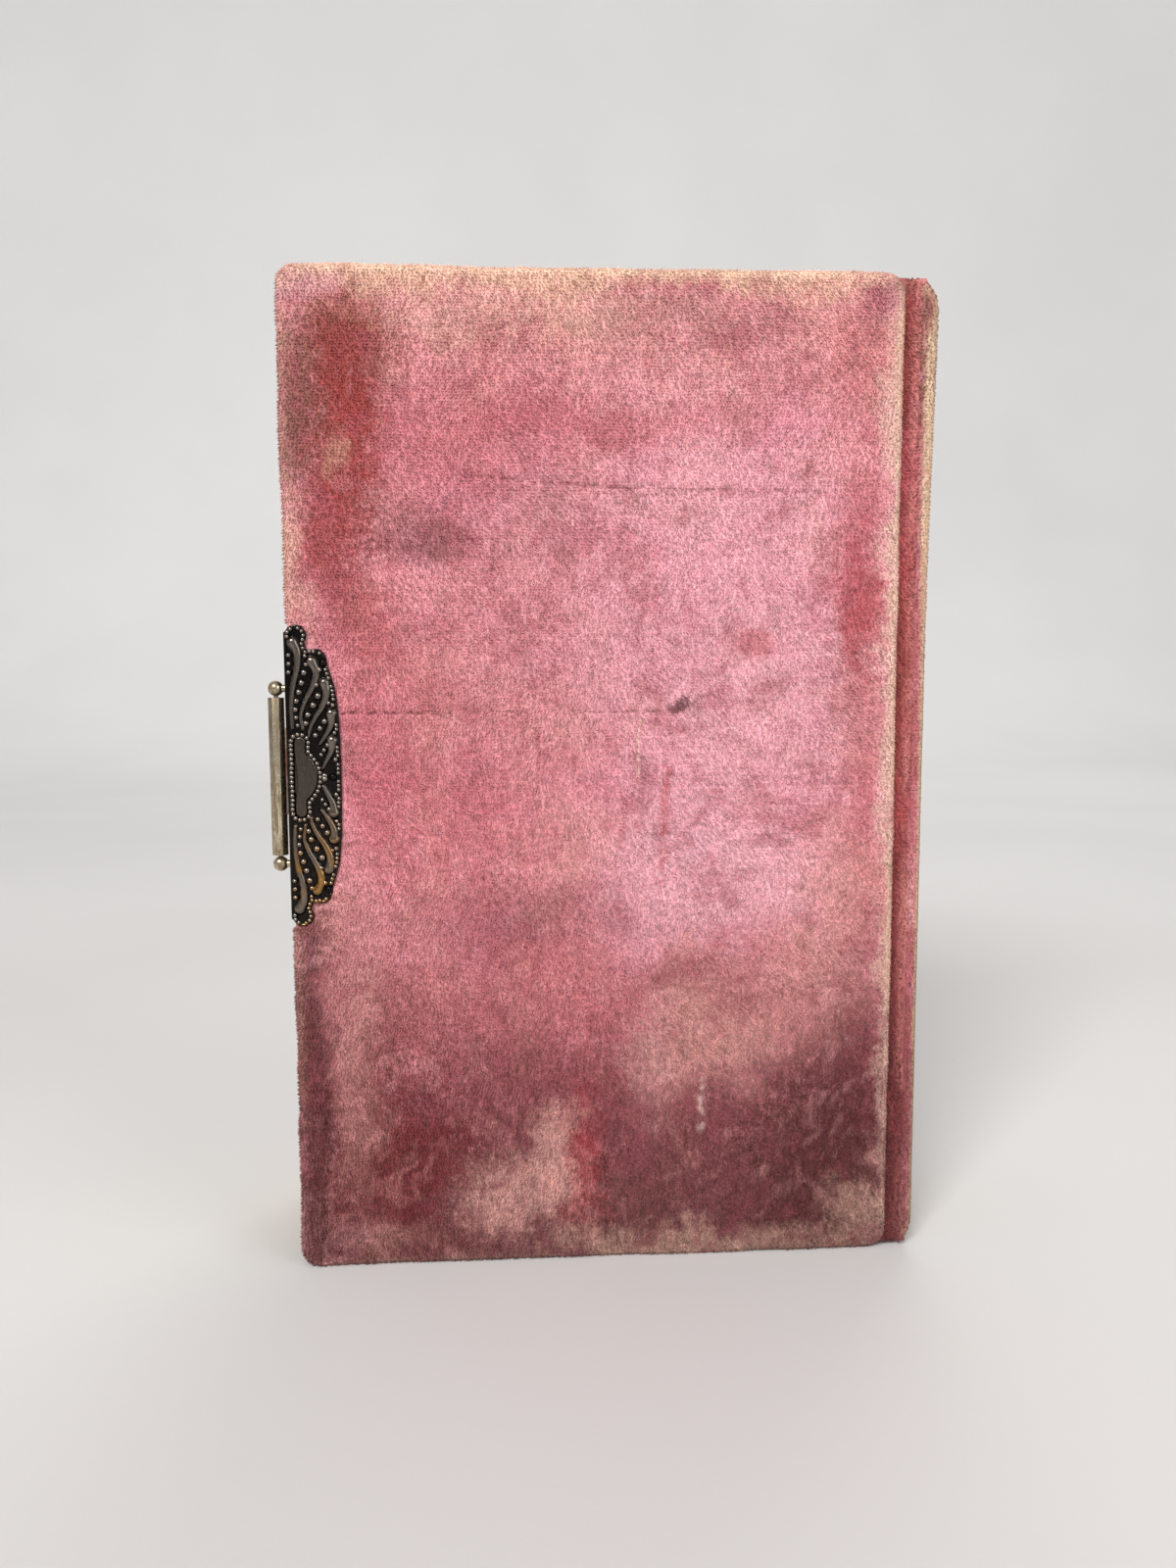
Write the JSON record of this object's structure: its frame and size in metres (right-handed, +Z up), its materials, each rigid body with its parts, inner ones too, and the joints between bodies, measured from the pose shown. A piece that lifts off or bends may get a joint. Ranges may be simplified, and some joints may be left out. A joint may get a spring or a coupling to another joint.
{
  "type": "photo album",
  "caption": "Upright photo album with plush-covered boards, a square spine, card leaves and a metal clasp with a hinged hasp on the fore-edge.",
  "frame": {"origin": "middle of the album's footprint, on the surface it stands on", "axes": "+X towards the spine, +Y from the rear cover to the front cover, +Z up towards the head"},
  "size_m": [0.1778, 0.0595, 0.264],
  "materials": {
    "plush": "worn rose plush, flattened in patches",
    "card": "raw grey-brown binder's card",
    "leaves": "card leaves with worn gilt edges",
    "endpaper": "smooth cream paper",
    "lining_cloth": "open cotton cloth",
    "plate_metal": "dark patinated pressed sheet, worn bright on the high spots",
    "clasp_metal": "worn nickel plating over brass",
    "steel": "plain drawn wire"
  },
  "bodies": {
    "book": {"page_block": "leaves", "spine_lining": "lining_cloth", "spine_card": "card", "spine_plush": "plush"},
    "rear_cover": {"rear_card": "card", "rear_plush": "plush", "rear_paper": "endpaper", "rear_clasp_plate": "plate_metal", "rear_clasp_nails": "plate_metal", "hinge_pin": "steel", "upper_finial": "clasp_metal", "lower_finial": "clasp_metal"},
    "front_cover": {"front_card": "card", "front_plush": "plush", "front_paper": "endpaper", "front_clasp_plate": "plate_metal", "front_clasp_nails": "plate_metal", "catch": "clasp_metal", "catch_rivets": "clasp_metal"},
    "hasp": {"hasp": "clasp_metal"}
  },
  "joints": [
    {"name": "rear_cover_hinge", "type": "hinge", "parent": "book", "child": "rear_cover", "pos_m": [0.08235, -0.02813, 0.132], "axis": [0, 0, 1], "range_deg": [0, 178]},
    {"name": "front_cover_hinge", "type": "hinge", "parent": "book", "child": "front_cover", "pos_m": [0.08235, 0.02813, 0.132], "axis": [0, 0, -1], "range_deg": [0, 178]},
    {"name": "hasp_hinge", "type": "hinge", "parent": "rear_cover", "child": "hasp", "pos_m": [-0.08435, -0.02523, 0.1344], "axis": [0, 0, 1], "range_deg": [-3.5, 212]}
  ]
}
